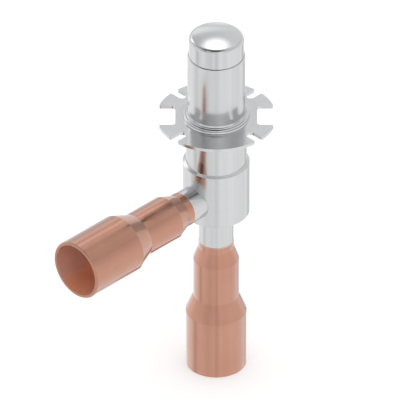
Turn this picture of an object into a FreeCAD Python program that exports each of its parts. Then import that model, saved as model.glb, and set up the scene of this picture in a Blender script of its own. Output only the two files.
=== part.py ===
import FreeCAD, Part

import math
import os

# Angle-type electronic expansion valve with a canned stepper rotor, shown without its coil.
# Millimetres. Z runs up the main axis, X runs out along the side port, and the origin is the
# centre of the bottom connector's mouth. The valve is modelled closed.

# Copper solder connectors, both alike
socket_diameter = 25.0
neck_diameter = 18.8
sleeve_diameter = 14.6
copper_wall = 1.4
socket_length = 26.3
socket_cone_length = 8.0
neck_length = 17.8
sleeve_cone_length = 5.9
sleeve_length = 3.0
mouth_chamfer = 0.4
swage_radius = 0.5

# Stainless stubs between the body and the connectors
stub_diameter = 14.2
port_bore = 10.4
spigot_wall = 1.1
spigot_length = 3.0
side_stub_exposed = 5.8
bottom_stub_exposed = 14.9

# Body
body_step = 1.2
body_shoulder_drop = 0.7
body_bore = 20.8
stub_socket_depth = 2.0
floor_web = 0.9
port_floor_gap = 0.1
side_socket_wall = 0.7
edge_break = 0.25

# Orifice and seat
orifice_diameter = 9.0
seat_lip_width = 0.6
seat_nozzle_wall = 1.7
seat_rise = 2.0
seat_flange_thickness = 1.4
seat_flange_width = 1.3

# Piston and what it carries
piston_diameter = 14.0
piston_length = 20.9
stroke = 4.4
seat_gap = 0.1
seal_thickness = 1.6
seal_proud = 0.5
seal_width = 1.6
seal_inside = 1.2
seal_screw_flange = 0.9
seal_screw_gap = 0.3
seal_screw_bore = 3.0
piston_floor = 3.8
piston_wall = 2.0
nut_length = 9.0
nut_flange_thickness = 1.0
nut_flange_inset = 0.6
balance_hole = 1.4
guide_pin_diameter = 2.0
guide_pin_recess = 1.75
guide_pin_height = 2.5

# Guide sleeve, its O-ring and the piston's lip seal
guide_port_gap = 0.8
guide_land = 3.5
guide_flange_thickness = 1.2
o_ring_cord = 1.5
o_ring_side_room = 0.375
piston_seal_height = 2.0
piston_seal_width = 1.65
piston_seal_groove = 0.8
seal_floor = 0.2

# Bonnet
collar_step = 0.7
bonnet_wall = 1.9
bonnet_spigot_wall = 1.2
bonnet_spigot_length = 4.7
bonnet_lip_width = 1.0
collar_above_disc = 1.9
collar_rounding = 0.6
can_spigot_length = 3.0

# Bearing housing and its ball bearing, of the common 6 x 15 x 5 size
bearing_bore = 6.0
bearing_diameter = 15.0
bearing_width = 5.0
ball_diameter = 2.4
ball_count = 8
race_ring_wall = 1.35
race_ring_corner = 0.3
cage_width = 1.3
cage_height = 3.3
chamber_gap = 0.6
housing_web = 2.0
housing_end = 1.0
circlip_thickness = 1.0
circlip_groove_depth = 0.7
circlip_width = 1.5
circlip_opening = 4.0

# Anti-backlash spring
spring_packed_length = 4.6
spring_wire = 0.7
spring_turns = 4

# Spindle
screw_diameter = 5.0
collar_diameter = 7.8
collar_height = 2.5
collar_web_gap = 0.5
hub_shaft_diameter = 4.8
spindle_tip_diameter = 4.0
spindle_tip_length = 3.6
screw_relief_length = 1.2
screw_relief_depth = 0.6
screw_lead_in = 0.5
clip_thickness = 0.7
clip_width = 1.4
clip_opening = 2.2
clip_groove_depth = 0.45

# Rotor
air_gap = 0.5
magnet_length = 22.0
magnet_wall = 2.2
rotor_floor_gap = 0.9
hub_rim_wall = 1.4
hub_rim_inset = 1.5
hub_web_thickness = 3.0
hub_boss_wall = 2.0
hub_boss_length = 12.0
hub_hole_diameter = 2.4
hub_hole_count = 6

# Can and cap
can_diameter = 23.5
can_wall = 0.5
can_flare = 0.2
can_flare_height = 0.8
can_lip_rounding = 0.45
cap_overlap = 1.5
cap_rotor_gap = 0.8
cap_wall_height = 7.2
cap_knuckle_radius = 1.8
cap_crown_radius = 55.0

# Top bearing in the cap
top_plate_thickness = 0.8
top_plate_rim = 2.8
top_plate_rise = 2.3
top_bush_wall = 1.6
top_bush_length = 3.4
top_bush_flange = 1.0

# Index disc
disc_diameter = 48.6
disc_thickness = 1.3
disc_below_housing_top = 1.1
disc_bead_width = 0.9
disc_bead_height = 1.5
disc_bead_rounding = 0.45
disc_bead_foot_width = 0.25
disc_bead_foot_height = 0.5
notch_width = 13.4
notch_floor_reach = 16.6
notch_corner_radius = 1.5
slot_width = 3.7
slot_end_reach = 19.7
lug_corner_radius = 0.6

# Fits, all radial
brazed_fit = 0.02
bore_fit = 0.05
running_fit = 0.05
pressed_fit = 0.01

# Heights along the main axis, from the bottom mouth upwards
neck_bottom = socket_length + socket_cone_length
neck_top = neck_bottom + neck_length
connector_length = neck_top + sleeve_cone_length + sleeve_length
joint_height = connector_length
body_bottom = joint_height + bottom_stub_exposed
floor_bottom = body_bottom + stub_socket_depth
floor_step = floor_bottom + floor_web
cavity_floor = floor_step + seat_flange_thickness
side_port_height = cavity_floor + port_floor_gap + port_bore / 2
guide_bottom = side_port_height + port_bore / 2 + guide_port_gap
guide_flange_bottom = guide_bottom + guide_land
guide_flange_top = guide_flange_bottom + guide_flange_thickness
body_top = guide_flange_top + bonnet_spigot_length
seal_seat = guide_flange_top + seal_floor
guide_top = seal_seat + piston_seal_height

seat_face = cavity_floor + seat_rise
seal_face = seat_face + seat_gap
seal_back = seal_face + seal_thickness
piston_bottom = seal_face + seal_proud
piston_cavity_floor = seal_back + piston_floor
piston_top = seal_face + piston_length
nut_top = piston_top + nut_flange_thickness
nut_bottom = piston_top - nut_length
guide_pin_center = guide_top + guide_pin_height

spring_top = nut_top + stroke + spring_packed_length
bearing_bottom = spring_top + housing_web
bearing_top = bearing_bottom + bearing_width
housing_top = bearing_top + circlip_thickness + housing_end
disc_bottom = housing_top - disc_below_housing_top
disc_top = disc_bottom + disc_thickness
bonnet_top = disc_top + collar_above_disc
can_spigot_top = bonnet_top + can_spigot_length

magnet_bottom = can_spigot_top + rotor_floor_gap
magnet_top = magnet_bottom + magnet_length
hub_middle = (magnet_bottom + magnet_top) / 2
hub_boss_bottom = hub_middle - hub_boss_length / 2
hub_boss_top = hub_middle + hub_boss_length / 2
cap_bottom = magnet_top + cap_rotor_gap
can_top = cap_bottom + cap_overlap
top_plate_top = can_top + top_plate_rise + top_plate_thickness
cap_knuckle_height = can_top + cap_wall_height
spindle_top = top_plate_top + top_bush_flange + spindle_tip_length / 2

# Radii that several pieces share
stub_radius = stub_diameter / 2
port_radius = port_bore / 2
spigot_radius = port_radius + spigot_wall
bonnet_radius = can_diameter / 2 + collar_step
bonnet_bore_radius = bonnet_radius - bonnet_wall
housing_radius = bonnet_bore_radius - bore_fit
body_radius = bonnet_radius + body_step
body_bore_radius = body_bore / 2
guide_flange_radius = bonnet_bore_radius + bonnet_spigot_wall
can_inner_radius = can_diameter / 2 - can_wall
cap_radius = can_inner_radius - brazed_fit
piston_radius = piston_diameter / 2
nut_radius = piston_radius - piston_wall - pressed_fit
screw_radius = screw_diameter / 2
shaft_radius = bearing_bore / 2 - pressed_fit
hub_shaft_radius = hub_shaft_diameter / 2
magnet_radius = can_inner_radius - air_gap
magnet_bore_radius = magnet_radius - magnet_wall
ball_circle_radius = (bearing_bore + bearing_diameter) / 4
side_joint_reach = body_radius + side_stub_exposed
side_mouth_reach = side_joint_reach + connector_length

up = FreeCAD.Vector(0, 0, 1)
origin = FreeCAD.Vector(0, 0, 0)


def corner_points(before, corner, after, radius):
    """Start, middle and end of the arc that rounds one corner of an outline."""
    to_before = (before - corner).normalize()
    to_after = (after - corner).normalize()
    half_angle = to_before.getAngle(to_after) / 2
    inward = (to_before + to_after).normalize()
    start = corner + to_before * (radius / math.tan(half_angle))
    end = corner + to_after * (radius / math.tan(half_angle))
    middle = corner + inward * (radius / math.sin(half_angle) - radius)
    return start, middle, end


def closed_wire(corners):
    """Closed outline from vectors; a pair (vector, radius) is a rounded corner."""
    plain = [corner[0] if isinstance(corner, tuple) else corner for corner in corners]
    edges = []
    starts = []
    ends = []
    for index, corner in enumerate(corners):
        if isinstance(corner, tuple):
            start, middle, end = corner_points(
                plain[index - 1], plain[index], plain[(index + 1) % len(plain)], corner[1])
            edges.append(Part.Arc(start, middle, end).toShape())
        else:
            start = corner
            end = corner
        starts.append(start)
        ends.append(end)
    for index, end in enumerate(ends):
        edges.append(Part.makeLine(end, starts[(index + 1) % len(starts)]))
    return Part.Wire(Part.__sortEdges__(edges))


def turned(outline):
    """Solid turned about Z; the outline is (radius, height) or (radius, height, rounding)."""
    corners = []
    for radius, height, *rounding in outline:
        place = FreeCAD.Vector(radius, 0, height)
        corners.append((place, rounding[0]) if rounding else place)
    return Part.Face(closed_wire(corners)).revolve(origin, up, 360)


def tube(outer, inner, bottom, top):
    """Plain ring or sleeve between two heights."""
    return turned([(inner, bottom), (outer, bottom), (outer, top), (inner, top)])


def rod(radius, bottom, top):
    """Plain cylinder on the main axis."""
    return Part.makeCylinder(radius, top - bottom, FreeCAD.Vector(0, 0, bottom), up)


def around(shape, count, first_angle=0.0):
    """Copies of a shape spaced evenly about Z."""
    copies = []
    for index in range(count):
        copy = shape.copy()
        copy.rotate(origin, up, first_angle + index * 360.0 / count)
        copies.append(copy)
    return copies


def to_side_port(shape, reach):
    """Lay a piece that stands on the main axis along the side port, its zero at a reach."""
    laid = shape.copy()
    laid.rotate(origin, FreeCAD.Vector(0, 1, 0), -90)
    laid.translate(FreeCAD.Vector(reach, 0, side_port_height))
    return laid


def connector():
    """Swaged copper connector standing on its mouth, with the sleeve for the stub at the top."""
    socket_radius = socket_diameter / 2
    neck_radius = neck_diameter / 2
    sleeve_radius = sleeve_diameter / 2
    sleeve_bore = spigot_radius + brazed_fit
    return turned([
        (socket_radius - copper_wall, 0),
        (socket_radius - mouth_chamfer, 0),
        (socket_radius, mouth_chamfer),
        (socket_radius, socket_length, swage_radius),
        (neck_radius, neck_bottom, swage_radius),
        (neck_radius, neck_top, swage_radius),
        (sleeve_radius, connector_length - sleeve_length, swage_radius),
        (sleeve_radius, connector_length),
        (sleeve_bore, connector_length),
        (sleeve_bore, connector_length - spigot_length),
        (neck_radius - copper_wall, neck_top, swage_radius),
        (neck_radius - copper_wall, neck_bottom, swage_radius),
        (socket_radius - copper_wall, socket_length, swage_radius),
    ])


def stub(length):
    """Stainless stub with its spigot down and its shoulder at height zero."""
    return turned([
        (port_radius, -spigot_length),
        (spigot_radius, -spigot_length),
        (spigot_radius, 0),
        (stub_radius - edge_break, 0),
        (stub_radius, edge_break),
        (stub_radius, length),
        (port_radius, length),
    ])


def side_stub_length():
    """From the connector's sleeve to the bottom of the socket bored in the body's side."""
    return side_joint_reach - body_bore_radius - side_socket_wall


def valve_body():
    """Body bored from above, with a conical shoulder, sockets for both stubs and a seat pocket."""
    pocket_radius = seat_flange_radius() + pressed_fit
    body = turned([
        (port_radius, floor_bottom),
        (stub_radius + brazed_fit, floor_bottom),
        (stub_radius + brazed_fit, body_bottom),
        (body_radius - edge_break, body_bottom),
        (body_radius, body_bottom + edge_break),
        (body_radius, body_top - body_shoulder_drop),
        (bonnet_radius, body_top),
        (guide_flange_radius + brazed_fit, body_top),
        (guide_flange_radius + brazed_fit, guide_flange_bottom),
        (body_bore_radius, guide_flange_bottom),
        (body_bore_radius, cavity_floor),
        (pocket_radius, cavity_floor),
        (pocket_radius, floor_step),
        (port_radius, floor_step),
    ])
    port = Part.makeCylinder(port_radius, side_joint_reach)
    socket = Part.makeCylinder(stub_radius + brazed_fit, side_stub_length())
    body = body.cut(to_side_port(port, side_joint_reach))
    return body.cut(to_side_port(socket, side_joint_reach))


def seat_flange_radius():
    return orifice_diameter / 2 + seat_nozzle_wall + seat_flange_width


def seat_ring():
    """Orifice insert: a flange in the floor's pocket and a nozzle that ends in a narrow lip."""
    orifice_radius = orifice_diameter / 2
    lip_radius = orifice_radius + seat_lip_width
    nozzle_radius = orifice_radius + seat_nozzle_wall
    return turned([
        (orifice_radius, floor_step),
        (seat_flange_radius(), floor_step),
        (seat_flange_radius(), cavity_floor),
        (nozzle_radius, cavity_floor),
        (nozzle_radius, seat_face - (nozzle_radius - lip_radius)),
        (lip_radius, seat_face),
        (orifice_radius, seat_face),
    ])


def seal_radii():
    """Inner and outer radius of the soft seat seal, which straddles the seat's lip."""
    lip_middle = (orifice_diameter + seat_lip_width) / 2
    return lip_middle - seal_inside, lip_middle + seal_width / 2


def seat_seal():
    inner, outer = seal_radii()
    return tube(outer, inner, seal_face, seal_back)


def seal_screw():
    """Hollow screw whose flange reaches down into the orifice and clamps the seat seal."""
    shank_radius = seal_radii()[0] - bore_fit
    flange_radius = orifice_diameter / 2 - seal_screw_gap
    bore_radius = seal_screw_bore / 2
    flange_bottom = seal_face - seal_screw_flange
    return turned([
        (bore_radius, flange_bottom),
        (flange_radius - edge_break, flange_bottom),
        (flange_radius, flange_bottom + edge_break),
        (flange_radius, seal_face),
        (shank_radius, seal_face),
        (shank_radius, piston_cavity_floor),
        (bore_radius, piston_cavity_floor),
    ])


def piston():
    """Hollow piston with the seal's recess in its foot and a hole for the guide pin."""
    inner, outer = seal_radii()
    cavity_radius = piston_radius - piston_wall
    body = turned([
        (outer + bore_fit, piston_bottom),
        (piston_radius - edge_break, piston_bottom),
        (piston_radius, piston_bottom + edge_break),
        (piston_radius, piston_top - edge_break),
        (piston_radius - edge_break, piston_top),
        (cavity_radius, piston_top),
        (cavity_radius, piston_cavity_floor),
        (inner, piston_cavity_floor),
        (inner, seal_back),
        (outer + bore_fit, seal_back),
    ])
    return body.cut(guide_pin_rod(guide_pin_diameter / 2 + pressed_fit))


def guide_pin_rod(radius):
    """Radial rod from the nut through the piston's wall into the housing's slot, towards Y."""
    start = nut_radius + 2 * pressed_fit
    length = housing_radius - guide_pin_recess - start
    return Part.makeCylinder(radius, length, FreeCAD.Vector(0, start, guide_pin_center),
                             FreeCAD.Vector(0, 1, 0))


def guide_pin():
    return guide_pin_rod(guide_pin_diameter / 2)


def drive_nut():
    """Flanged nut pressed in the piston's head, with holes that let the pressure balance."""
    nut = turned([
        (screw_radius + running_fit, nut_bottom),
        (nut_radius, nut_bottom),
        (nut_radius, piston_top),
        (piston_radius - nut_flange_inset, piston_top),
        (piston_radius - nut_flange_inset, nut_top),
        (screw_radius + running_fit, nut_top),
    ])
    hole = rod(balance_hole / 2, nut_bottom, nut_top)
    hole.translate(FreeCAD.Vector((screw_radius + nut_radius) / 2, 0, 0))
    for cutter in around(hole, 2):
        nut = nut.cut(cutter)
    return nut


def piston_guide():
    """Guide sleeve with an O-ring groove below its flange and the lip seal's seat above."""
    land_radius = body_bore_radius - bore_fit
    groove_radius = body_bore_radius - o_ring_cord
    groove_middle = (guide_bottom + guide_flange_bottom) / 2
    groove_width = o_ring_cord + o_ring_side_room
    bore_radius = piston_radius + running_fit
    return turned([
        (bore_radius, guide_bottom),
        (land_radius, guide_bottom),
        (land_radius, groove_middle - groove_width / 2),
        (groove_radius, groove_middle - groove_width / 2),
        (groove_radius, groove_middle + groove_width / 2),
        (land_radius, groove_middle + groove_width / 2),
        (land_radius, guide_flange_bottom),
        (guide_flange_radius, guide_flange_bottom),
        (guide_flange_radius, guide_flange_top),
        (housing_radius, guide_flange_top),
        (housing_radius, guide_top),
        (piston_radius + piston_seal_width + bore_fit, guide_top),
        (piston_radius + piston_seal_width + bore_fit, seal_seat),
        (bore_radius, seal_seat),
    ])


def guide_o_ring():
    cord_radius = o_ring_cord / 2 - pressed_fit
    middle = FreeCAD.Vector(0, 0, (guide_bottom + guide_flange_bottom) / 2)
    return Part.makeTorus(body_bore_radius - o_ring_cord / 2, cord_radius, middle, up)


def piston_seal():
    """Lip seal: a ring with a V-shaped groove in its upper face."""
    inner = piston_radius + running_fit
    outer = piston_radius + piston_seal_width
    middle = (inner + outer) / 2
    groove_half_width = piston_seal_groove / 2
    return turned([
        (inner, seal_seat),
        (outer, seal_seat),
        (outer, guide_top),
        (middle + groove_half_width, guide_top),
        (middle, guide_top - piston_seal_height / 2),
        (middle - groove_half_width, guide_top),
        (inner, guide_top),
    ])


def bonnet():
    """Turned neck: spigot into the body, collar for the disc and spigot for the can."""
    spigot_outer = guide_flange_radius
    lip_radius = bonnet_bore_radius - bonnet_lip_width
    return turned([
        (bonnet_bore_radius, guide_flange_top),
        (spigot_outer, guide_flange_top),
        (spigot_outer, body_top),
        (bonnet_radius, body_top),
        (bonnet_radius, bonnet_top, collar_rounding),
        (can_inner_radius - brazed_fit, bonnet_top),
        (can_inner_radius - brazed_fit, can_spigot_top),
        (lip_radius, can_spigot_top),
        (lip_radius, housing_top),
        (bonnet_bore_radius, housing_top),
    ])


def bearing_housing():
    """Insert with the spring's chamber below, the bearing's seat above and the pin's slot."""
    chamber_radius = piston_radius + chamber_gap
    seat_radius = bearing_diameter / 2 + pressed_fit
    web_radius = collar_diameter / 2 + collar_web_gap
    groove_radius = bearing_diameter / 2 + circlip_groove_depth
    housing = turned([
        (chamber_radius, guide_top),
        (housing_radius, guide_top),
        (housing_radius, housing_top),
        (seat_radius, housing_top),
        (seat_radius, bearing_top + circlip_thickness),
        (groove_radius, bearing_top + circlip_thickness),
        (groove_radius, bearing_top),
        (seat_radius, bearing_top),
        (seat_radius, bearing_bottom),
        (web_radius, bearing_bottom),
        (web_radius, spring_top),
        (chamber_radius, spring_top),
    ])
    slot_width_here = guide_pin_diameter + 2 * running_fit
    slot_top = guide_pin_center + stroke
    slot = Part.makeBox(slot_width_here, bonnet_radius, slot_top - guide_top)
    slot.translate(FreeCAD.Vector(-slot_width_here / 2, 0, guide_top))
    slot_end = Part.makeCylinder(slot_width_here / 2, bonnet_radius,
                                 FreeCAD.Vector(0, 0, slot_top), FreeCAD.Vector(0, 1, 0))
    return housing.cut(slot.fuse(slot_end))


def race_groove():
    """Torus that hollows the raceways out of both bearing rings."""
    middle = FreeCAD.Vector(0, 0, (bearing_bottom + bearing_top) / 2)
    return Part.makeTorus(ball_circle_radius, ball_diameter / 2 + running_fit, middle, up)


def race_ring(seat_radius, race_radius):
    """Bearing ring with rounded corners at its seat and a raceway towards the balls."""
    ring = turned([
        (race_radius, bearing_bottom),
        (seat_radius, bearing_bottom, race_ring_corner),
        (seat_radius, bearing_top, race_ring_corner),
        (race_radius, bearing_top),
    ])
    return ring.cut(race_groove())


def bearing_outer_ring():
    outer = bearing_diameter / 2
    return race_ring(outer, outer - race_ring_wall)


def bearing_inner_ring():
    inner = bearing_bore / 2
    return race_ring(inner, inner + race_ring_wall)


def bearing_balls():
    middle = FreeCAD.Vector(ball_circle_radius, 0, (bearing_bottom + bearing_top) / 2)
    return Part.makeCompound(around(Part.makeSphere(ball_diameter / 2, middle), ball_count))


def bearing_cage():
    """Ring with one round pocket through its wall for each ball."""
    middle = (bearing_bottom + bearing_top) / 2
    cage = tube(ball_circle_radius + cage_width / 2, ball_circle_radius - cage_width / 2,
                middle - cage_height / 2, middle + cage_height / 2)
    pocket = Part.makeCylinder(ball_diameter / 2 + running_fit, bearing_diameter,
                               FreeCAD.Vector(0, 0, middle), FreeCAD.Vector(1, 0, 0))
    for cutter in around(pocket, ball_count):
        cage = cage.cut(cutter)
    return cage


def split_ring(outer, inner, bottom, thickness, gap):
    """Retaining ring with its gap towards X."""
    ring = tube(outer, inner, bottom, bottom + thickness)
    opening = Part.makeBox(outer, gap, thickness, FreeCAD.Vector(0, -gap / 2, bottom))
    return ring.cut(opening)


def bearing_circlip():
    outer = bearing_diameter / 2 + circlip_groove_depth - bore_fit
    return split_ring(outer, outer - circlip_width, bearing_top, circlip_thickness, circlip_opening)


def spindle_clip():
    inner = shaft_radius - clip_groove_depth + bore_fit
    return split_ring(inner + clip_width, inner, bearing_top, clip_thickness, clip_opening)


def rotor_clip():
    inner = hub_shaft_radius - clip_groove_depth + bore_fit
    return split_ring(inner + clip_width, inner, hub_boss_top, clip_thickness, clip_opening)


def spindle():
    """Stepped shaft: screw at the foot with its relief, collar, bearing seat, hub seat and tip."""
    collar_radius = collar_diameter / 2
    collar_bottom = bearing_bottom - collar_height
    tip_radius = spindle_tip_diameter / 2
    screw_bottom = piston_cavity_floor + stroke + seal_proud
    shaft = turned([
        (0, screw_bottom),
        (screw_radius - screw_lead_in, screw_bottom),
        (screw_radius, screw_bottom + screw_lead_in),
        (screw_radius, collar_bottom - screw_relief_length - screw_relief_depth),
        (screw_radius - screw_relief_depth, collar_bottom - screw_relief_length),
        (screw_radius - screw_relief_depth, collar_bottom),
        (collar_radius - edge_break, collar_bottom),
        (collar_radius, collar_bottom + edge_break),
        (collar_radius, bearing_bottom),
        (shaft_radius, bearing_bottom),
        (shaft_radius, hub_boss_bottom),
        (hub_shaft_radius, hub_boss_bottom),
        (hub_shaft_radius, top_plate_top - top_bush_length),
        (tip_radius, top_plate_top - top_bush_length),
        (tip_radius, spindle_top - edge_break),
        (tip_radius - edge_break, spindle_top),
        (0, spindle_top),
    ])
    lower_groove = tube(collar_radius, shaft_radius - clip_groove_depth,
                        bearing_top, bearing_top + clip_thickness)
    upper_groove = tube(collar_radius, hub_shaft_radius - clip_groove_depth,
                        hub_boss_top, hub_boss_top + clip_thickness)
    return shaft.cut(lower_groove).cut(upper_groove)


def backlash_spring():
    """Coil spring between the drive nut's flange and the housing's web.

    It is a chain of half turns, each a half ring tipped so that it meets the next one smoothly,
    with a flat half turn at either end.
    """
    wire_radius = spring_wire / 2
    coil_radius = piston_radius - nut_flange_inset - wire_radius
    bottom = nut_top + wire_radius + pressed_fit
    top = spring_top - wire_radius - pressed_fit
    rising_count = 2 * spring_turns
    rise = (top - bottom) / rising_count
    tip = math.degrees(math.atan2(rise / 2, coil_radius))
    coil = None
    for index in range(-1, rising_count + 1):
        rising = 0 <= index < rising_count
        radius = math.hypot(coil_radius, rise / 2) if rising else coil_radius
        half_turn = Part.makeTorus(radius, wire_radius, origin, up, 0, 360, 180)
        half_turn.rotate(origin, FreeCAD.Vector(0, 1, 0), tip if rising else 0)
        half_turn.rotate(origin, up, 180 * (index % 2))
        height = min(max(bottom + (index + 0.5) * rise, bottom), top)
        half_turn.translate(FreeCAD.Vector(0, 0, height))
        coil = coil.fuse(half_turn) if coil else half_turn
    return coil.removeSplitter()


def rotor_magnet():
    return turned([
        (magnet_bore_radius, magnet_bottom),
        (magnet_radius, magnet_bottom, edge_break),
        (magnet_radius, magnet_top, edge_break),
        (magnet_bore_radius, magnet_top),
    ])


def rotor_hub():
    """Moulded hub: rim in the magnet, web with flow holes and a boss on the shaft."""
    rim_outer = magnet_bore_radius - pressed_fit
    rim_inner = rim_outer - hub_rim_wall
    boss_radius = hub_shaft_radius + hub_boss_wall
    bore_radius = hub_shaft_radius + pressed_fit
    rim_bottom = magnet_bottom + hub_rim_inset
    rim_top = magnet_top - hub_rim_inset
    web_bottom = hub_middle - hub_web_thickness / 2
    web_top = hub_middle + hub_web_thickness / 2
    hub = turned([
        (bore_radius, hub_boss_bottom),
        (boss_radius, hub_boss_bottom),
        (boss_radius, web_bottom),
        (rim_inner, web_bottom),
        (rim_inner, rim_bottom),
        (rim_outer, rim_bottom),
        (rim_outer, rim_top),
        (rim_inner, rim_top),
        (rim_inner, web_top),
        (boss_radius, web_top),
        (boss_radius, hub_boss_top),
        (bore_radius, hub_boss_top),
    ])
    hole = rod(hub_hole_diameter / 2, web_bottom, web_top)
    hole.translate(FreeCAD.Vector((boss_radius + rim_inner) / 2, 0, 0))
    for cutter in around(hole, hub_hole_count):
        hub = hub.cut(cutter)
    return hub


def can_tube():
    """Thin tube that flares a little onto the bonnet and has a rounded upper edge."""
    outer = can_diameter / 2
    return turned([
        (can_inner_radius, bonnet_top),
        (outer + can_flare, bonnet_top),
        (outer, bonnet_top + can_flare_height, can_flare_height),
        (outer, can_top, can_lip_rounding),
        (can_inner_radius, can_top),
    ])


def cap_outline(offset):
    """Knuckle start, knuckle middle, crown start, crown middle and apex, set in by an offset."""
    center_radius = cap_radius - cap_knuckle_radius
    knuckle = cap_knuckle_radius - offset
    crown = cap_crown_radius - offset
    lean = math.asin(center_radius / (cap_crown_radius - cap_knuckle_radius))
    crown_center = cap_knuckle_height - (cap_crown_radius - cap_knuckle_radius) * math.cos(lean)

    def on_knuckle(angle):
        return FreeCAD.Vector(center_radius + knuckle * math.sin(angle), 0,
                              cap_knuckle_height + knuckle * math.cos(angle))

    def on_crown(angle):
        return FreeCAD.Vector(crown * math.sin(angle), 0, crown_center + crown * math.cos(angle))

    return [on_knuckle(math.pi / 2), on_knuckle((math.pi / 2 + lean) / 2), on_knuckle(lean),
            on_crown(lean / 2), on_crown(0)]


def can_cap():
    """Drawn cap: straight skirt, round knuckle and a slightly crowned top."""
    outside = cap_outline(0)
    inside = cap_outline(can_wall)
    skirt_outer = FreeCAD.Vector(cap_radius, 0, cap_bottom)
    skirt_inner = FreeCAD.Vector(cap_radius - can_wall, 0, cap_bottom)
    edges = [
        Part.makeLine(skirt_inner, skirt_outer),
        Part.makeLine(skirt_outer, outside[0]),
        Part.Arc(*outside[0:3]).toShape(),
        Part.Arc(*outside[2:5]).toShape(),
        Part.makeLine(outside[4], inside[4]),
        Part.Arc(*inside[4:1:-1]).toShape(),
        Part.Arc(*inside[2::-1]).toShape(),
        Part.makeLine(inside[0], skirt_inner),
    ]
    return Part.Face(Part.Wire(edges)).revolve(origin, up, 360)


def top_plate():
    """Inverted shallow cup pressed in the cap, with a hole for the bush."""
    outer = cap_radius - can_wall - pressed_fit
    bottom = top_plate_top - top_plate_rim
    hole_radius = top_bush_radius() + pressed_fit
    return turned([
        (outer - top_plate_thickness, bottom),
        (outer, bottom),
        (outer, top_plate_top, top_plate_thickness),
        (hole_radius, top_plate_top),
        (hole_radius, top_plate_top - top_plate_thickness),
        (outer - top_plate_thickness, top_plate_top - top_plate_thickness),
    ])


def top_bush_radius():
    return spindle_tip_diameter / 2 + running_fit + top_bush_wall


def top_bush():
    """Flanged bush that steadies the spindle's tip."""
    outer = top_bush_radius()
    inner = spindle_tip_diameter / 2 + running_fit
    flange_top = top_plate_top + top_bush_flange
    bottom = top_plate_top - top_bush_length + running_fit
    return turned([
        (inner, bottom),
        (outer, bottom),
        (outer, top_plate_top),
        (outer + top_bush_wall, top_plate_top),
        (outer + top_bush_wall, flange_top),
        (inner, flange_top),
    ])


def notch_cutter():
    """Wide notch, open outwards, with rounded inner corners, towards X."""
    half = notch_width / 2
    inner = notch_floor_reach
    outer = disc_diameter
    wire = closed_wire([
        FreeCAD.Vector(outer, -half, disc_bottom),
        FreeCAD.Vector(outer, half, disc_bottom),
        (FreeCAD.Vector(inner, half, disc_bottom), notch_corner_radius),
        (FreeCAD.Vector(inner, -half, disc_bottom), notch_corner_radius),
    ])
    return Part.Face(wire).extrude(up * disc_thickness)


def slot_cutter():
    """Narrow slot with a round inner end, open outwards, towards X."""
    half = slot_width / 2
    end = Part.makeCylinder(half, disc_thickness,
                            FreeCAD.Vector(slot_end_reach, 0, disc_bottom), up)
    run = Part.makeBox(disc_diameter - slot_end_reach, slot_width, disc_thickness,
                       FreeCAD.Vector(slot_end_reach, -half, disc_bottom))
    return end.fuse(run)


def index_disc():
    """Punched plate with a raised bead round the collar; the coil's clip locks in its notches."""
    disc = rod(disc_diameter / 2, disc_bottom, disc_top)
    for cutter in around(notch_cutter(), 2, -45) + around(slot_cutter(), 4):
        disc = disc.cut(cutter)
    rim_corners = []
    for edge in disc.Edges:
        reach = math.hypot(edge.CenterOfMass.x, edge.CenterOfMass.y)
        if isinstance(edge.Curve, Part.Line) and math.isclose(reach, disc_diameter / 2):
            rim_corners.append(edge)
    disc = disc.makeFillet(lug_corner_radius, rim_corners)
    bead_radius = bonnet_radius + disc_bead_width
    bead = turned([
        (bonnet_radius, disc_bottom),
        (bead_radius + disc_bead_foot_width, disc_bottom),
        (bead_radius + disc_bead_foot_width, disc_top),
        (bead_radius, disc_top + disc_bead_foot_height),
        (bead_radius, disc_top + disc_bead_height, disc_bead_rounding),
        (bonnet_radius, disc_top + disc_bead_height),
    ])
    return disc.fuse(bead).cut(rod(bonnet_radius + brazed_fit, disc_bottom, bonnet_top)).removeSplitter()


pieces = {
    "valve_body": valve_body(),
    "bonnet": bonnet(),
    "index_disc": index_disc(),
    "can_tube": can_tube(),
    "can_cap": can_cap(),
    "bottom_stub": stub(bottom_stub_exposed + stub_socket_depth),
    "side_stub": to_side_port(stub(side_stub_length()), side_joint_reach),
    "bottom_connector": connector(),
    "side_connector": to_side_port(connector(), side_mouth_reach),
    "seat_ring": seat_ring(),
    "seat_seal": seat_seal(),
    "seal_screw": seal_screw(),
    "piston": piston(),
    "drive_nut": drive_nut(),
    "guide_pin": guide_pin(),
    "piston_guide": piston_guide(),
    "guide_o_ring": guide_o_ring(),
    "piston_seal": piston_seal(),
    "bearing_housing": bearing_housing(),
    "bearing_outer_ring": bearing_outer_ring(),
    "bearing_inner_ring": bearing_inner_ring(),
    "bearing_balls": bearing_balls(),
    "bearing_cage": bearing_cage(),
    "bearing_circlip": bearing_circlip(),
    "spindle": spindle(),
    "spindle_clip": spindle_clip(),
    "backlash_spring": backlash_spring(),
    "rotor_magnet": rotor_magnet(),
    "rotor_hub": rotor_hub(),
    "rotor_clip": rotor_clip(),
    "top_plate": top_plate(),
    "top_bush": top_bush(),
}
pieces["bottom_stub"].translate(FreeCAD.Vector(0, 0, joint_height))

os.makedirs("parts", exist_ok=True)
for name, shape in pieces.items():
    shape.exportStep(os.path.join("parts", name + ".step"))
    print(name, "valid" if shape.isValid() else "INVALID", round(shape.Volume, 2))
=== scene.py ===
import math

import bpy
from mathutils import Matrix, Vector


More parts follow.
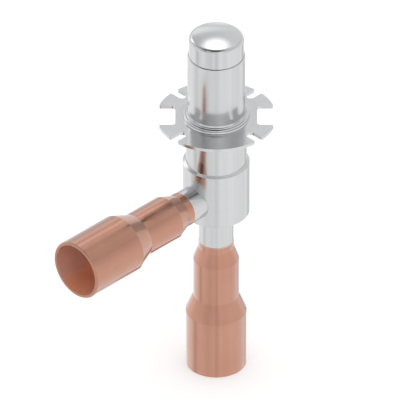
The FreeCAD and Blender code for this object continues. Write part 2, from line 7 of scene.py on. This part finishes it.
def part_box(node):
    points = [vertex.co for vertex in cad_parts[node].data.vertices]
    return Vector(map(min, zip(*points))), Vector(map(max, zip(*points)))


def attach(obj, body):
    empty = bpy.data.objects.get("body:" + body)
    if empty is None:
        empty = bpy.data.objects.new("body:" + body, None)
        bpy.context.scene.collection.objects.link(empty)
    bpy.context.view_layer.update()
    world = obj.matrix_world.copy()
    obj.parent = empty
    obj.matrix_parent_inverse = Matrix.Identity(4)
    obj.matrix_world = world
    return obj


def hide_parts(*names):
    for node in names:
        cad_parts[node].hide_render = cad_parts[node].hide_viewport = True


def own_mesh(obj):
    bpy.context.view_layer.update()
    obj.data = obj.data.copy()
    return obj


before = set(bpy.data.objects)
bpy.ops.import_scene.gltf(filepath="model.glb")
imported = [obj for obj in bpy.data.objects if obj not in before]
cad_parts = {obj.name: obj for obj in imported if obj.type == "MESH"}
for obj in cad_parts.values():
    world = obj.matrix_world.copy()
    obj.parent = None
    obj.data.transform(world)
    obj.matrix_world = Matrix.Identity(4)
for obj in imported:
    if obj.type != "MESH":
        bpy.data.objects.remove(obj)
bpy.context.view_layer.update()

# Places on the valve, in metres
SIDE_PORT_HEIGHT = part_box("side_connector")[0].z / 2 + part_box("side_connector")[1].z / 2
STUB_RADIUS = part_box("bottom_stub")[1].x
BEAD_RADIUS = 0.0002

# The photograph's view, in a frame of 400 pixels; it shows no perspective, so the camera stands far off
FRAME_PIXELS = 400
AXIS_PIXEL_X = 216.2
PORTS_PIXEL_Y = 189.8
PIXELS_PER_METRE = 2455
CAMERA_AZIMUTH = math.radians(135)
CAMERA_ELEVATION = math.radians(35.02)
CAMERA_DISTANCE = 7.0
CAMERA_CLIP_END = 100.0
SENSOR_WIDTH = 36.0

# Floor: its width in metres, its grey, and the glow that turns it white for the camera
FLOOR_SIZE = 12.0
FLOOR_COLOR = 0.8
FLOOR_GLOW = 0.38

# Studio levels, where 1 is white: the plain light, and what reflections see below and above
PLAIN_LEVEL = 0.9
LOW_LEVEL = 1.08
HIGH_LEVEL = 0.79
LOW_ELEVATION = -12
HIGH_ELEVATION = 42

# Soft patches that reflections show: azimuth, half width, elevation and half height in degrees,
# and how much lighter than the rest of the studio, or darker where it is below 0
PATCHES = (
    (24, 22, -30, 58, 0.10),
    (48, 18, -37, 28, -0.27),
    (104, 26, -25, 75, -0.11),
    (136, 11, -25, 75, -0.17),
    (154, 10, -25, 75, 0.08),
    (196, 34, -25, 75, 0.06),
    (-79, 22, -45, 45, -0.40),
    (-36, 30, -10, 26, -0.30),
    (-50, 15, 12, 7, 0.40),
    (85, 15, 33, 20, -0.35),
    (150, 50, 33, 20, 0.28),
    (-72, 14, 52, 9, 0.25),
    (-62, 26, 36, 20, 0.14),
    (-24, 15, 46, 14, -0.16),
    (92, 24, 52, 15, 0.52),
    (-115, 40, 50, 18, 0.09),
    (-4, 15, 26, 10, 0.45),
    (20, 26, 54, 13, -0.32),
)
PATCH_CORE = 0.6  # share of a patch's height that has its full strength

# Round lit panels in reflections: azimuth, half width, elevation, half height, even share and strength
PANELS = (
    (-44.5, 15.5, 51.5, 15, 0.1, 1.9),
    (-18, 37, 25.5, 9, 0.5, 0.34),
    (-8, 17, 36, 8, 0.3, 1.6),
)

# Shade overhead, to the camera's left: azimuth, elevation and reach in degrees, and depth
SHADE = (100, 73, 37, 0.66)
SHADE_CORE = 14  # degrees from its middle within which it has its full depth

# Metal colours
BRIGHT = (0.605, 0.605, 0.608)
SATIN = (0.625, 0.625, 0.628)
COPPER = (0.478, 0.204, 0.124)
TARNISH = (0.448, 0.180, 0.102)
BORE = (1.000, 0.490, 0.300)
# the bore's heat-stain colour, also used as painted reflection on the bore's upper side
BORE_STAIN_AND_PAINTED_REFLECTION = (0.870, 0.570, 0.470)
SOLDER = (0.72, 0.52, 0.43)
BRASS = (0.78, 0.60, 0.30)
DULL_BRASS = (0.62, 0.45, 0.21)
GROUND_STEEL = (0.56, 0.57, 0.59)
OILED_STEEL = (0.45, 0.45, 0.46)

# The bore is duller than the outside and has lost some of its metal look to oxide
BORE_METALLIC = 0.38
BORE_PAINTED_REFLECTION_RISE = 0.10  # painted reflection: how much more the bore's upper side (its +y side in the upright connector) takes the paler stain colour, so that its lower side keeps the saturated orange of inter-reflection
BORE_ROUGHER = 0.04

# Clear film on the copper
FILM_IOR = 1.8
FILM_ROUGHNESS = 0.07

# Painted light on the disc's underside: how much paler its colour is than the top's, where it faces down into
# shade
UNDERSIDE_PAINTED_LIGHT = 1.42

# Turning rings: what a step outwards counts against one along the axis, and how much they change round it
RING_SLANT = 0.83
RING_WANDER = 0.35

# Scratches: the axis that they are turned about, their length in metres, the share of the noise in which
# one fades out, and how much rougher one is than the metal round it
SCRATCH_AXIS = (0.31, 0.52, 0.79)
SCRATCH_LENGTH = 1 / 60
SCRATCH_FADE = 0.05
SCRATCH_ROUGHER = 0.05

# Smears on stainless steel: what they leave of red, green and blue
SMEAR_TINT = (0.975, 0.985, 1.0)

# Relief of the surfaces, in metres
STEEL_RINGS = 0.0000012
STEEL_STREAKS = 0.000003
COPPER_LINES = 0.0000016
COPPER_SPECKS = 0.000001
BRASS_RINGS = 0.000006
GROUND_RINGS = 0.000003
SCRATCH_RELIEF = -0.000002

# A radius is taken as this at least, in metres, so that nothing is divided by zero on the axis
SMALLEST_RADIUS = 1e-6


class Graph:
    """The node tree of a material or world, with short calls that add a node and return its output."""

    def __init__(self, owner):
        owner.use_nodes = True
        self.owner = owner
        self.tree = owner.node_tree

    def put(self, socket, value):
        """Link a node's output to an input, or set the input's own value."""
        if isinstance(value, bpy.types.NodeSocket):
            self.tree.links.new(value, socket)
        elif socket.type == "RGBA" and len(value) == 3:
            socket.default_value = (*value, 1)
        else:
            socket.default_value = value

    def add(self, kind, values=(), output=0, **settings):
        """Add a node, set or link its inputs by name or number, and return one of its outputs."""
        node = self.tree.nodes.new(kind)
        for name, setting in settings.items():
            setattr(node, name, setting)
        for name, value in dict(values).items():
            self.put(node.inputs[name], value)
        return node.outputs[output]

    def math(self, operation, first, second=0.0, third=0.0):
        return self.add("ShaderNodeMath", {0: first, 1: second, 2: third}, operation=operation)

    def ramp(self, value, low, high, start=0.0, end=1.0):
        """Map low..high to start..end smoothly, and hold the ends outside it."""
        return self.add("ShaderNodeMapRange", {0: value, 1: low, 2: high, 3: start, 4: end},
                        interpolation_type="SMOOTHSTEP")

    def vector(self, x, y, z):
        return self.add("ShaderNodeCombineXYZ", {0: x, 1: y, 2: z})

    def split(self, vector):
        node = self.tree.nodes.new("ShaderNodeSeparateXYZ")
        self.put(node.inputs[0], vector)
        return node.outputs

    def noise(self, place, scale, detail=2.0, roughness=0.5):
        return self.add("ShaderNodeTexNoise", {"Vector": place, "Scale": scale, "Detail": detail,
                                               "Roughness": roughness}, output="Fac")

    def mix(self, share, first, second):
        """Blend two colours."""
        return self.add("ShaderNodeMix", {"Factor": share, 6: first, 7: second}, output=2, data_type="RGBA")

    def blend(self, share, first, second):
        """Blend two numbers."""
        return self.add("ShaderNodeMix", {0: share, 2: first, 3: second})

    def shaded(self, color, amount):
        """A colour made darker or lighter by a factor."""
        return self.add("ShaderNodeVectorMath", {0: color, "Scale": amount}, operation="SCALE")

    def ray(self, *kinds):
        """1 for rays of any of these kinds, and 0 for the rest."""
        path = self.tree.nodes.new("ShaderNodeLightPath")
        found = path.outputs[kinds[0]]
        for kind in kinds[1:]:
            found = self.math("MAXIMUM", found, path.outputs[kind])
        return found

    def azimuth(self, x, y):
        """Azimuth in degrees, measured as the camera's is, from -180 to 180."""
        turn = self.math("ARCTAN2", x, self.math("MULTIPLY", y, -1.0))
        return self.math("DEGREES", turn)

    def bump(self, height, depth, below=None):
        """Relief of this depth in metres, on top of the relief below it."""
        values = {"Height": height, "Distance": depth}
        if below:
            values["Normal"] = below
        return self.add("ShaderNodeBump", values)


class Piece(Graph):
    """A material with coordinates about the axis that a turned or drawn piece has."""

    def __init__(self, name, along_x=False):
        super().__init__(bpy.data.materials.new(name))
        self.place = self.add("ShaderNodeTexCoord", output="Object")
        x, y, z = self.split(self.place)
        if along_x:
            z = self.math("SUBTRACT", z, SIDE_PORT_HEIGHT)
        self.along_x = along_x
        self.along, across, rise = (x, y, z) if along_x else (z, x, y)
        squares = self.math("ADD", self.math("MULTIPLY", across, across), self.math("MULTIPLY", rise, rise))
        self.radius = self.math("MAXIMUM", self.math("SQRT", squares), SMALLEST_RADIUS)
        self.cosine = self.math("DIVIDE", across, self.radius)
        self.sine = self.math("DIVIDE", rise, self.radius)

    def finish(self, color, roughness, normal, **fixed):
        """Link the shader's inputs, set those named in fixed, and return the material."""
        shader = self.tree.nodes["Principled BSDF"]
        self.put(shader.inputs["Base Color"], color)
        self.put(shader.inputs["Roughness"], roughness)
        self.put(shader.inputs["Normal"], normal)
        for name, value in fixed.items():
            self.put(shader.inputs[name.replace("_", " ")], value)
        return self.owner

    def outwards(self):
        """How far a surface faces away from the axis: 1 on a barrel, -1 in a bore, 0 on an end face."""
        x, y, z = self.split(self.add("ShaderNodeTexCoord", output="Normal"))
        across, rise = (y, z) if self.along_x else (x, y)
        return self.math("ADD", self.math("MULTIPLY", across, self.cosine),
                         self.math("MULTIPLY", rise, self.sine))

    def inside(self):
        """1 on surfaces that face the axis, such as a tube's bore, and 0 outside and on end faces."""
        return self.ramp(self.outwards(), -0.6, -0.2, 1.0, 0.0)

    def wall(self):
        """1 on barrels and bores, and 0 on end faces and crowns."""
        return self.ramp(self.math("ABSOLUTE", self.outwards()), 0.4, 0.9)

    def brushing(self):
        """Tangent round the axis, as turning and polishing leave it."""
        return self.add("ShaderNodeTangent", direction_type="RADIAL", axis="X" if self.along_x else "Z")

    def lengthwise(self, count, drift, shift=0.0, detail=2.0):
        """Streaks along the axis: about count of them round the piece, which wander slowly."""
        spread = count / math.tau
        return self.noise(self.vector(
            self.math("MULTIPLY", self.cosine, spread),
            self.math("MULTIPLY", self.sine, spread),
            self.math("MULTIPLY_ADD", self.along, drift, shift)), scale=1.0, detail=detail)

    def rings(self, pitch, shift=0.0):
        """Turning marks across the axis, with a mean pitch in metres, on faces and barrels alike."""
        travel = self.math("ADD", self.along, self.math("MULTIPLY", self.radius, RING_SLANT))
        return self.noise(self.vector(
            self.math("MULTIPLY_ADD", travel, 1 / pitch, shift),
            self.math("MULTIPLY", self.cosine, RING_WANDER),
            self.math("MULTIPLY", self.sine, RING_WANDER)), scale=1.0)

    def blotches(self, size, shift=0.0):
        """Soft patches of about this size in metres."""
        moved = self.add("ShaderNodeVectorMath", {0: self.place, 1: (shift, shift, shift)}, operation="ADD")
        return self.noise(moved, scale=1 / size, detail=3.0, roughness=0.55)

    def scratches(self, spacing, angle, share):
        """Fine straight scratches at one angle, of which only a share show."""
        turned = self.add("ShaderNodeVectorRotate", {"Vector": self.place, "Axis": SCRATCH_AXIS,
                                                     "Angle": angle})
        scales = (1 / spacing, 1 / SCRATCH_LENGTH, 1 / spacing)
        stretched = self.add("ShaderNodeVectorMath", {0: turned, 1: scales}, operation="MULTIPLY")
        line = self.noise(stretched, scale=1.0, detail=1.0)
        return self.ramp(line, 1 - share, 1 - share + SCRATCH_FADE)


# Noise lies between about 0.2 and 0.8, and mostly between 0.3 and 0.7, so the ramps below start and end there

def steel(name, color, roughness, along_x=False, streak=0.03, grain=0.5, pitch=0.00022, shift=0.0,
          turned=0.0, dull_and_painted_light_below=0.0):
    """Bright stainless: lengthwise polish streaks, turning rings, faint smears and scratches.

    The last argument is the roughness that faces looking down have more than the rest; where it is set, their
    colour is also painted paler there, as painted light.
    """
    piece = Piece(name, along_x)
    broad = piece.lengthwise(count=15, drift=4.0, shift=shift)
    narrow = piece.lengthwise(count=60, drift=9.0, shift=shift + 3.1)
    rings = piece.rings(pitch, shift)
    smears = piece.blotches(size=0.006, shift=shift)
    marks = piece.math("MAXIMUM", piece.scratches(spacing=0.0016, angle=0.4 + shift, share=0.28),
                       piece.scratches(spacing=0.0021, angle=1.9 + shift, share=0.26))
    level = piece.math("ADD", piece.ramp(broad, 0.3, 0.7, -streak, streak),
                       piece.ramp(narrow, 0.3, 0.6, -streak, 0))
    level = piece.math("MULTIPLY_ADD", level, piece.wall(), 1.0)
    level = piece.math("MULTIPLY", level, piece.ramp(rings, 0.2, 0.8, 1 - 0.03 * grain, 1 + 0.02 * grain))
    smeared = tuple(part * left for part, left in zip(color, SMEAR_TINT))
    tint = piece.mix(smears, color, smeared)
    rough = piece.math("ADD", piece.ramp(smears, 0.3, 0.75, roughness * 0.85, roughness * 1.2),
                       piece.ramp(rings, 0.3, 0.7, 0, 0.04 * grain))
    rough = piece.math("ADD", rough, piece.math("MULTIPLY", marks, SCRATCH_ROUGHER))
    if dull_and_painted_light_below:
        facing = piece.split(piece.add("ShaderNodeTexCoord", output="Normal"))[2]
        rough = piece.math("ADD", rough, piece.ramp(facing, -0.9, -0.6, dull_and_painted_light_below, 0))
        # painted light: faces looking down get a paler colour
        level = piece.math("MULTIPLY", level, piece.ramp(facing, -0.9, -0.6, UNDERSIDE_PAINTED_LIGHT, 1))
    relief = piece.bump(rings, STEEL_RINGS * grain)
    relief = piece.bump(narrow, STEEL_STREAKS, relief)
    relief = piece.bump(marks, SCRATCH_RELIEF, relief)
    return piece.finish(piece.shaded(tint, level), rough, relief, Metallic=1.0, Anisotropic=turned,
                        Tangent=piece.brushing())


def copper(name, along_x=False, shift=0.0, fresh=COPPER, tarnish=TARNISH):
    """Drawn copper under a clear film: faint die lines and tarnish, and a duller, heat-stained bore, with
    painted reflection that leaves the bore's lower side more saturated orange than its upper side.
    """
    piece = Piece(name, along_x)
    inside = piece.inside()
    broad = piece.lengthwise(count=13, drift=5.0, shift=shift)
    lines = piece.lengthwise(count=80, drift=10.0, shift=shift + 5.7)
    cloud = piece.blotches(size=0.014, shift=shift)
    specks = piece.blotches(size=0.0011, shift=shift + 0.4)
    marks = piece.math("MAXIMUM", piece.scratches(spacing=0.0018, angle=0.7 + shift, share=0.25),
                       piece.scratches(spacing=0.0024, angle=2.3 + shift, share=0.23))
    outer = piece.mix(piece.ramp(cloud, 0.3, 0.72), fresh, tarnish)
    streaks = piece.lengthwise(count=5, drift=12.0, shift=shift + 4.4, detail=1.0)
    # painted reflection: the bore leans to the paler stain colour on its upper side and to saturated orange
    # below, as inter-reflection looks; the lengthwise streaks are heat stains
    stain_and_painted_reflection = piece.math("MULTIPLY_ADD", piece.sine, BORE_PAINTED_REFLECTION_RISE, streaks)
    bore = piece.mix(piece.ramp(stain_and_painted_reflection, 0.36, 0.60), BORE, BORE_STAIN_AND_PAINTED_REFLECTION)
    level = piece.math("ADD", piece.ramp(broad, 0.3, 0.7, 0.97, 1.03),
                       piece.ramp(lines, 0.3, 0.7, -0.02, 0.015))
    level = piece.math("ADD", level, piece.ramp(specks, 0.62, 0.78, 0, -0.025))
    rough = piece.math("ADD", piece.ramp(cloud, 0.3, 0.7, 0.15, 0.20), piece.ramp(lines, 0.3, 0.7, 0, 0.03))
    rough = piece.math("ADD", rough, piece.math("MULTIPLY", marks, SCRATCH_ROUGHER))
    relief = piece.bump(lines, COPPER_LINES)
    relief = piece.bump(specks, COPPER_SPECKS, relief)
    relief = piece.bump(marks, SCRATCH_RELIEF, relief)
    return piece.finish(piece.shaded(piece.mix(inside, outer, bore), level),
                        piece.math("MULTIPLY_ADD", inside, BORE_ROUGHER, rough), relief,
                        Metallic=piece.ramp(inside, 0, 1, 1, BORE_METALLIC),
                        Coat_Weight=1.0, Coat_IOR=FILM_IOR, Coat_Roughness=FILM_ROUGHNESS)


def brass(name, shift=0.0):
    """Turned brass, with clear tool rings and a little dulling."""
    piece = Piece(name)
    rings = piece.rings(pitch=0.00018, shift=shift)
    cloud = piece.blotches(size=0.004, shift=shift)
    color = piece.mix(piece.ramp(cloud, 0.3, 0.75), BRASS, DULL_BRASS)
    level = piece.ramp(rings, 0.2, 0.8, 0.95, 1.04)
    rough = piece.math("ADD", piece.ramp(cloud, 0.3, 0.7, 0.2, 0.32), piece.ramp(rings, 0.3, 0.7, 0, 0.06))
    return piece.finish(piece.shaded(color, level), rough, piece.bump(rings, BRASS_RINGS), Metallic=1.0)


def hard_steel(name, shift=0.0):
    """Ground hardened steel, darker and cooler than stainless, with an oil film."""
    piece = Piece(name)
    rings = piece.rings(pitch=0.00009, shift=shift)
    film = piece.blotches(size=0.003, shift=shift)
    color = piece.mix(piece.ramp(film, 0.3, 0.75), GROUND_STEEL, OILED_STEEL)
    rough = piece.math("ADD", piece.ramp(film, 0.3, 0.7, 0.14, 0.24), piece.ramp(rings, 0.3, 0.7, 0, 0.05))
    return piece.finish(piece.shaded(color, piece.ramp(rings, 0.2, 0.8, 0.96, 1.03)), rough,
                        piece.bump(rings, GROUND_RINGS), Metallic=1.0)


def soft(name, color, dark, roughness, grain_size, depth, **fixed):
    """Plastic, rubber or magnet: a colour clouded with a darker one, and fine even grain."""
    piece = Piece(name)
    cloud = piece.blotches(size=grain_size * 12)
    grain = piece.blotches(size=grain_size)
    both = piece.math("MULTIPLY_ADD", grain, 0.6, piece.math("MULTIPLY", cloud, 0.4))
    rough = piece.ramp(both, 0.3, 0.7, roughness * 0.88, roughness * 1.12)
    color = piece.mix(piece.ramp(cloud, 0.3, 0.7), color, dark)
    level = piece.ramp(grain, 0.3, 0.7, 0.95, 1.05)
    return piece.finish(piece.shaded(color, level), rough, piece.bump(grain, depth), **fixed)


def dress(material, *nodes):
    """Give a material to CAD nodes."""
    for node in nodes:
        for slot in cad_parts[node].material_slots:
            slot.material = material


dress(steel("can_steel", BRIGHT, roughness=0.19, streak=0.035, grain=0.4, turned=0.8), "can_tube")
dress(steel("cap_steel", BRIGHT, roughness=0.09, streak=0.035, shift=1.3), "can_cap")
dress(steel("body_steel", BRIGHT, roughness=0.15, grain=0.8, shift=2.1, turned=0.6), "valve_body", "bonnet")
dress(steel("disc_steel", SATIN, roughness=0.17, streak=0.02, grain=0.2, pitch=0.0006, shift=4.2,
            dull_and_painted_light_below=0.4), "index_disc")
dress(steel("stub_steel", BRIGHT, roughness=0.15, shift=5.3, turned=0.6), "bottom_stub")
dress(steel("side_stub_steel", BRIGHT, roughness=0.14, along_x=True, shift=6.4), "side_stub")
dress(steel("seat_steel", BRIGHT, roughness=0.14, shift=7.0), "seat_ring")
dress(steel("plate_steel", SATIN, roughness=0.2, shift=8.0), "top_plate")
dress(copper("bottom_copper"), "bottom_connector")
dress(copper("side_copper", along_x=True, shift=2.6), "side_connector")
dress(brass("piston_brass"), "piston", "drive_nut", "seal_screw")
dress(brass("guide_brass", shift=3.0), "piston_guide", "bearing_housing", "bearing_cage")
dress(hard_steel("bearing_steel"), "bearing_outer_ring", "bearing_inner_ring", "bearing_balls")
dress(hard_steel("shaft_steel", shift=2.0),
      "spindle", "guide_pin", "spindle_clip", "rotor_clip", "bearing_circlip")
dress(hard_steel("spring_steel", shift=4.0), "backlash_spring")
dress(soft("ferrite", color=(0.075, 0.075, 0.080), dark=(0.050, 0.050, 0.052), roughness=0.55,
           grain_size=0.00025, depth=0.00001), "rotor_magnet")
dress(soft("filled_plastic", color=(0.13, 0.12, 0.11), dark=(0.09, 0.085, 0.08), roughness=0.45,
           grain_size=0.0003, depth=0.00001), "rotor_hub")
dress(soft("fluoropolymer", color=(0.80, 0.79, 0.75), dark=(0.70, 0.69, 0.66), roughness=0.35,
           grain_size=0.0004, depth=0.000006, Subsurface_Weight=0.15, Subsurface_Scale=0.001),
      "seat_seal", "piston_seal", "top_bush")
dress(soft("rubber", color=(0.022, 0.022, 0.022), dark=(0.015, 0.015, 0.015), roughness=0.5,
           grain_size=0.0003, depth=0.000008), "guide_o_ring")


def solder_bead(name, along_x=False):
    """Fine ring of solder where a stub goes into its connector's sleeve."""
    if along_x:
        joint = Matrix.Translation((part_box("side_connector")[0].x, 0, SIDE_PORT_HEIGHT))
        joint @= Matrix.Rotation(math.pi / 2, 4, "Y")
    else:
        joint = Matrix.Translation((0, 0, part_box("bottom_connector")[1].z))
    bpy.ops.mesh.primitive_torus_add(major_segments=96, minor_segments=12,
                                     major_radius=STUB_RADIUS, minor_radius=BEAD_RADIUS)
    bead = bpy.context.object
    bead.name = name
    bead.data.transform(joint)
    for face in bead.data.polygons:
        face.use_smooth = True
    metal = copper(name + "_metal", along_x, shift=4.5, fresh=SOLDER, tarnish=SOLDER)
    bead.data.materials.append(metal)
    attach(bead, "housing")


def compressing_spring():
    """The backlash spring as an object of its own, with its own copy of the mesh, carried by the housing in
    place of the hidden CAD part.
    """
    spring = bpy.data.objects.new("live_spring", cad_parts["backlash_spring"].data.copy())
    bpy.context.scene.collection.objects.link(spring)
    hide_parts("backlash_spring")
    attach(spring, "housing")
    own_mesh(spring)


solder_bead("bottom_solder")
solder_bead("side_solder", along_x=True)
compressing_spring()


def direction(azimuth, elevation):
    """Unit vector towards an azimuth and elevation, as the camera's are measured."""
    return Vector((math.sin(azimuth) * math.cos(elevation), -math.cos(azimuth) * math.cos(elevation),
                   math.sin(elevation)))


def make_camera():
    """Camera far off with a long lens, so placed that the ports' axes meet where the photograph has them."""
    to_camera = direction(CAMERA_AZIMUTH, CAMERA_ELEVATION)
    right = Vector((math.cos(CAMERA_AZIMUTH), math.sin(CAMERA_AZIMUTH), 0))
    up = to_camera.cross(right)
    aim = Vector((0, 0, SIDE_PORT_HEIGHT))
    aim += right * (FRAME_PIXELS / 2 - AXIS_PIXEL_X) / PIXELS_PER_METRE
    aim -= up * (FRAME_PIXELS / 2 - PORTS_PIXEL_Y) / PIXELS_PER_METRE
    data = bpy.data.cameras.new("camera")
    data.sensor_width = SENSOR_WIDTH
    data.lens = SENSOR_WIDTH * CAMERA_DISTANCE * PIXELS_PER_METRE / FRAME_PIXELS
    data.clip_end = CAMERA_CLIP_END
    camera = bpy.data.objects.new("camera", data)
    bpy.context.scene.collection.objects.link(camera)
    camera.location = aim + to_camera * CAMERA_DISTANCE
    camera.rotation_euler = (-to_camera).to_track_quat("-Z", "Y").to_euler()
    bpy.context.scene.camera = camera


def make_floor():
    """White floor that glows a little for the camera and keeps the shadow; reflections see the studio."""
    bpy.ops.mesh.primitive_plane_add(size=FLOOR_SIZE)
    floor = bpy.context.object
    floor.name = "floor"
    floor.visible_glossy = False
    floor.visible_transmission = False
    graph = Graph(bpy.data.materials.new("floor"))
    floor.data.materials.append(graph.owner)
    diffuse = graph.add("ShaderNodeBsdfDiffuse", {"Color": (FLOOR_COLOR, FLOOR_COLOR, FLOOR_COLOR)})
    shown = graph.math("MULTIPLY", graph.ray("Is Camera Ray"), FLOOR_GLOW)
    glow = graph.add("ShaderNodeEmission", {"Strength": shown})
    both = graph.add("ShaderNodeAddShader", {0: diffuse, 1: glow})
    graph.put(graph.tree.nodes["Material Output"].inputs["Surface"], both)


def apart(graph, azimuth, center):
    """Degrees between an azimuth and a centre, either way round."""
    turn = graph.math("WRAP", graph.math("SUBTRACT", azimuth, center), 180.0, -180.0)
    return graph.math("ABSOLUTE", turn)


def patch(graph, azimuth, elevation, center, width, height, reach, amount):
    """Soft-edged patch of the studio, as the amount that it adds to the level."""
    rise = graph.math("ABSOLUTE", graph.math("SUBTRACT", elevation, height))
    across = graph.ramp(apart(graph, azimuth, center), 0, width, amount, 0)
    return graph.math("MULTIPLY", across, graph.ramp(rise, reach * PATCH_CORE, reach, 1, 0))


def panel(graph, azimuth, elevation, center, width, height, reach, even, strength):
    """Round lit panel, as the amount that it adds to the level."""
    across = graph.math("DIVIDE", apart(graph, azimuth, center), width)
    rise = graph.math("DIVIDE", graph.math("SUBTRACT", elevation, height), reach)
    squares = graph.math("ADD", graph.math("MULTIPLY", across, across), graph.math("MULTIPLY", rise, rise))
    return graph.ramp(graph.math("SQRT", squares), even, 1, strength, 0)


def shade(graph, place, azimuth, elevation, reach, depth):
    """Round shade, as the amount that it adds to the level."""
    nearness = graph.add("ShaderNodeVectorMath",
                         {0: place, 1: direction(math.radians(azimuth), math.radians(elevation))},
                         output="Value", operation="DOT_PRODUCT")
    edge = math.cos(math.radians(reach))
    core = math.cos(math.radians(SHADE_CORE))
    return graph.ramp(nearness, edge, core, 0, -depth)


def make_world():
    """Pale studio: plain light, and for reflections soft patches, lit panels and a shade overhead."""
    world = bpy.data.worlds.new("studio")
    bpy.context.scene.world = world
    world.cycles.sampling_method = "NONE"
    graph = Graph(world)
    place = graph.add("ShaderNodeTexCoord")
    x, y, z = graph.split(place)
    azimuth = graph.azimuth(x, y)
    elevation = graph.math("DEGREES", graph.math("ARCSINE", z))
    level = graph.ramp(elevation, LOW_ELEVATION, HIGH_ELEVATION, LOW_LEVEL, HIGH_LEVEL)
    for values in PATCHES:
        level = graph.math("ADD", level, patch(graph, azimuth, elevation, *values))
    for values in PANELS:
        level = graph.math("ADD", level, panel(graph, azimuth, elevation, *values))
    level = graph.math("ADD", level, shade(graph, place, *SHADE))
    level = graph.blend(graph.ray("Is Glossy Ray", "Is Transmission Ray"), PLAIN_LEVEL, level)
    level = graph.blend(graph.ray("Is Camera Ray"), level, 1.0)
    graph.put(graph.tree.nodes["Background"].inputs["Strength"], level)
    graph.put(graph.tree.nodes["Background"].inputs["Color"], (1, 1, 1))


make_camera()
make_floor()
make_world()

scene = bpy.context.scene
scene.view_settings.view_transform = "Standard"
